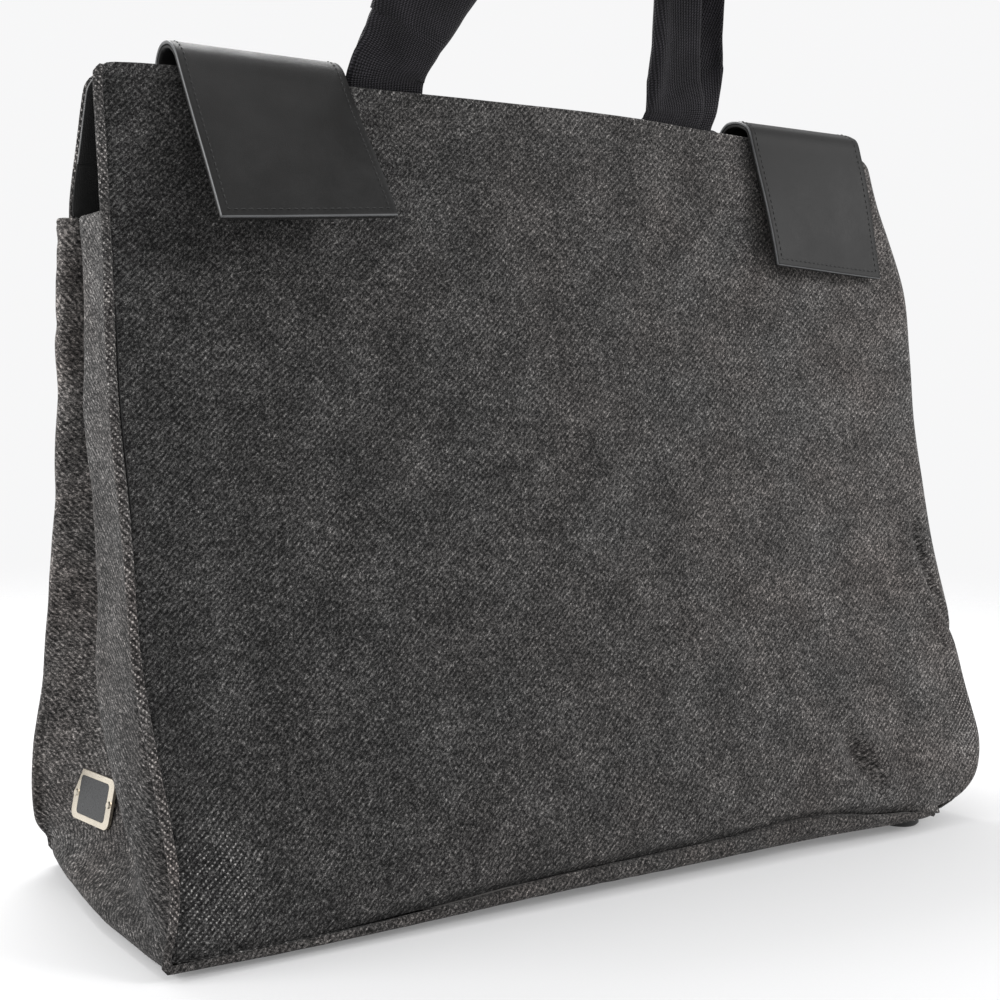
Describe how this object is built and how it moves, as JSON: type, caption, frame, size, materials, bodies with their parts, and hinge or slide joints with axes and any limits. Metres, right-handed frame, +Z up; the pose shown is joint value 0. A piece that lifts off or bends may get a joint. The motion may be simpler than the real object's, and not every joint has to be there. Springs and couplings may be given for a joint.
{
  "type": "weekender bag",
  "caption": "Soft-sided weekender bag of dark grey wool flannel with folded side gussets, webbing handles and leather flaps that close over the open top.",
  "frame": {"origin": "centre of the bag's footprint, on the floor under the feet", "axes": "+Z up, -Y towards the front with the hanging flap ends, +X to the right of someone facing the front"},
  "size_m": [0.465, 0.2292, 0.5934],
  "materials": {
    "flannel": "dark grey melange wool flannel twill",
    "piping": "the same flannel cut on the bias over a cord",
    "hem": "folded flannel edge",
    "facing": "black ribbed binding cloth",
    "lining": "smooth black lining",
    "board": "stiff black base board",
    "feet": "black moulded feet",
    "steel": "nickel plated",
    "webbing": "fine ribbed near-black nylon webbing",
    "leather": "smooth black semi-matt leather",
    "leather_back": "black leather backing",
    "plaque_metal": "pale polished metal",
    "enamel": "plain black enamel"
  },
  "bodies": {
    "bag": {"front_panel": "flannel", "back_panel": "flannel", "bottom_panel": "flannel", "left_gusset": "flannel", "right_gusset": "flannel", "front_piping": "piping", "back_piping": "piping", "left_gusset_hem": "hem", "right_gusset_hem": "hem", "front_facing": "facing", "back_facing": "facing", "front_lining": "lining", "back_lining": "lining", "bottom_lining": "lining", "left_gusset_lining": "lining", "right_gusset_lining": "lining", "base_board": "board", "feet": "feet", "foot_washers": "steel", "front_handle_ends": "webbing", "back_handle_ends": "webbing", "left_flap_tab": "leather", "right_flap_tab": "leather", "left_snap_socket": "steel", "right_snap_socket": "steel", "left_snap_washer": "steel", "right_snap_washer": "steel", "plaque_plate": "plaque_metal", "plaque_inlay": "enamel", "plaque_rivets": "plaque_metal", "plaque_washers": "steel"},
    "front_handle": {"front_handle": "webbing"},
    "back_handle": {"back_handle": "webbing"},
    "left_flap": {"left_flap_outer": "leather", "left_flap_backing": "leather_back", "left_snap_stud": "steel"},
    "right_flap": {"right_flap_outer": "leather", "right_flap_backing": "leather_back", "right_snap_stud": "steel"}
  },
  "joints": [
    {"name": "front_handle_fold", "type": "hinge", "parent": "bag", "child": "front_handle", "pos_m": [0, -0.0088, 0.38151], "axis": [1, 0, 0], "range_deg": [-16, 134]},
    {"name": "back_handle_fold", "type": "hinge", "parent": "bag", "child": "back_handle", "pos_m": [0, 0.0088, 0.38151], "axis": [1, 0, 0], "range_deg": [0, 150]},
    {"name": "left_flap_hinge", "type": "hinge", "parent": "bag", "child": "left_flap", "pos_m": [-0.161, 0.01157, 0.368], "axis": [-1, 0, 0], "range_deg": [0, 120]},
    {"name": "right_flap_hinge", "type": "hinge", "parent": "bag", "child": "right_flap", "pos_m": [0.161, 0.01157, 0.368], "axis": [-1, 0, 0], "range_deg": [0, 120]}
  ]
}
